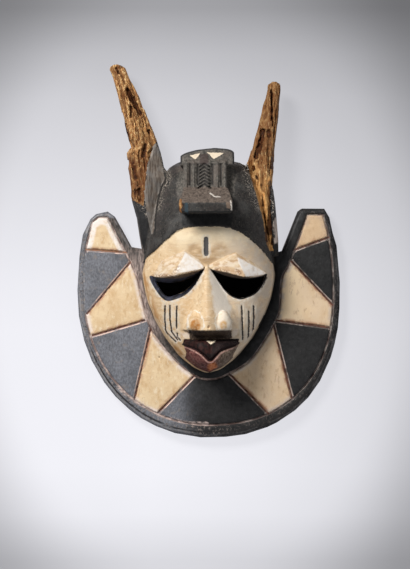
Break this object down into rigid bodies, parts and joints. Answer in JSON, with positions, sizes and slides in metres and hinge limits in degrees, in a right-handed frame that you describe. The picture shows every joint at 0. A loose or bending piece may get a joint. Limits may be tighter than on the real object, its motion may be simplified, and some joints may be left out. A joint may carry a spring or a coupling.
{
  "type": "carved yoruba mask",
  "caption": "Carved and painted wooden face mask with a crescent collar, a crest block above the brow and two broken upright horns, hollow at the back.",
  "frame": {"origin": "middle of the mask's outline as it lies, on the plane of its flat back", "axes": "+Z out of the face, +Y from the chin to the top of the head, +X to the right as seen from the front"},
  "size_m": [0.353, 0.499, 0.152],
  "materials": {
    "painted_wood": "matt cream, black and brown paint on carved hardwood, worn through to bare wood on the horns"
  },
  "bodies": {
    "root": {"carved_mask": "painted_wood"}
  },
  "joints": []
}
